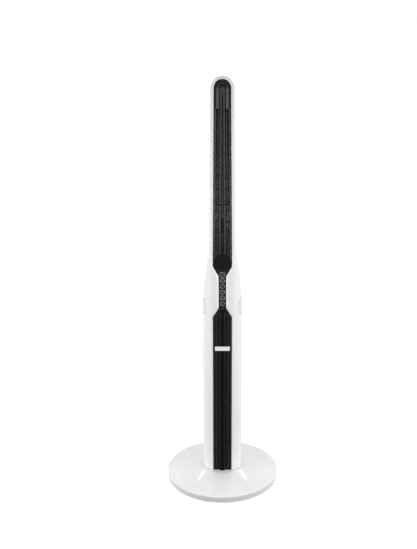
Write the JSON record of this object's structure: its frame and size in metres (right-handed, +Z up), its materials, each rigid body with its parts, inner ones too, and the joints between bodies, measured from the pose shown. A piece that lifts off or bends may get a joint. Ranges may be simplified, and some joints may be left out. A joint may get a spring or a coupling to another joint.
{
  "type": "ceramic tower fan heater",
  "caption": "Slim white tower fan heater with a black outlet grille, key strip and ribbed trim, swinging on a round weighted base.",
  "frame": {"origin": "on the floor under the middle of the round base, on the swing axis", "axes": "+Z up along the swing axis, front of the heater towards -Y, +X to the right seen from the front"},
  "size_m": [0.278, 0.278, 0.985],
  "materials": {
    "white_shell": "smooth glossy moulded plastic",
    "badge_white": "smooth blank plate",
    "black_trim": "satin black moulded plastic",
    "display_dark": "smoked window",
    "key_black": "satin key caps with pale printed rings",
    "filter_mesh": "fine woven dust mesh",
    "grey_plate": "plain moulded plastic",
    "iron": "bare casting",
    "rubber": "matte rubber",
    "steel": "plated steel",
    "board_green": "coated circuit board",
    "components": "moulded component cases",
    "inner_plastic": "plain engineering plastic",
    "heater_black": "heat-proof plastic",
    "ceramic": "fired ceramic",
    "fin_metal": "thin folded strip"
  },
  "bodies": {
    "base": {"base_cover": "white_shell", "base_plate": "grey_plate", "base_screws": "steel", "ballast_ring": "iron", "rubber_feet": "rubber", "cord_gland": "rubber", "swivel_bearing": "inner_plastic", "swing_motor": "steel", "swing_motor_screws": "steel", "tip_switch": "components"},
    "tower": {"front_housing": "white_shell", "rear_housing": "white_shell", "badge_plate": "badge_white", "lower_trim": "black_trim", "control_panel": "black_trim", "outlet_grille": "black_trim", "display_lens": "display_dark", "sensor_window": "display_dark", "intake_filter": "filter_mesh", "housing_screws": "steel", "hub_screws": "steel", "gear_screws": "steel", "motor_screws": "steel", "power_board_screws": "steel", "fan_motor": "steel", "control_board": "board_green", "power_board": "board_green", "key_switches": "components", "display_module": "components", "power_components": "components", "thermal_cutout": "components", "swivel_hub": "inner_plastic", "sector_gear": "inner_plastic", "fan_deck": "inner_plastic", "fan_shroud": "inner_plastic", "air_duct": "inner_plastic", "heater_frame": "heater_black", "ptc_bars": "ceramic", "heater_fins": "fin_metal"},
    "fan_rotor": {"impeller": "inner_plastic", "fan_shaft": "steel"},
    "swing_pinion": {"drive_pinion": "inner_plastic", "pinion_shaft": "steel"},
    "tip_pin": {"tip_plunger": "inner_plastic"},
    "power_key_body": {"power_key": "key_black"},
    "control_key_1_body": {"control_key_1": "key_black"},
    "control_key_2_body": {"control_key_2": "key_black"},
    "control_key_3_body": {"control_key_3": "key_black"},
    "control_key_4_body": {"control_key_4": "key_black"},
    "control_key_5_body": {"control_key_5": "key_black"}
  },
  "joints": [
    {"name": "swing", "type": "hinge", "parent": "base", "child": "tower", "pos_m": [0, 0, 0.0305], "axis": [0, 0, 1], "range_deg": [-40, 40]},
    {"name": "pinion_turn", "type": "hinge", "parent": "base", "child": "swing_pinion", "pos_m": [0, 0.05, 0.0222], "axis": [0, 0, 1], "range_deg": [-161, 161]},
    {"name": "fan_spin", "type": "hinge", "parent": "tower", "child": "fan_rotor", "pos_m": [0, 0.005, 0.49], "axis": [0, 0, 1], "continuous": true},
    {"name": "tip_drop", "type": "slide", "parent": "base", "child": "tip_pin", "axis": [0, 0, -1], "range_m": [0, 0.004], "stiffness_N_per_m": 100, "springref_m": 0.008},
    {"name": "power_key_press", "type": "slide", "parent": "tower", "child": "power_key_body", "axis": [0, 1, 0], "range_m": [0, 0.0006], "stiffness_N_per_m": 600, "springref_m": -0.0004},
    {"name": "control_key_1_press", "type": "slide", "parent": "tower", "child": "control_key_1_body", "axis": [0, 1, 0], "range_m": [0, 0.0006], "stiffness_N_per_m": 600, "springref_m": -0.0004},
    {"name": "control_key_2_press", "type": "slide", "parent": "tower", "child": "control_key_2_body", "axis": [0, 1, 0], "range_m": [0, 0.0006], "stiffness_N_per_m": 600, "springref_m": -0.0004},
    {"name": "control_key_3_press", "type": "slide", "parent": "tower", "child": "control_key_3_body", "axis": [0, 1, 0], "range_m": [0, 0.0006], "stiffness_N_per_m": 600, "springref_m": -0.0004},
    {"name": "control_key_4_press", "type": "slide", "parent": "tower", "child": "control_key_4_body", "axis": [0, 1, 0], "range_m": [0, 0.0006], "stiffness_N_per_m": 600, "springref_m": -0.0004},
    {"name": "control_key_5_press", "type": "slide", "parent": "tower", "child": "control_key_5_body", "axis": [0, 1, 0], "range_m": [0, 0.0006], "stiffness_N_per_m": 600, "springref_m": -0.0004}
  ],
  "couplings": [
    {"joint": "pinion_turn", "follows": "swing", "ratio": -4}
  ]
}
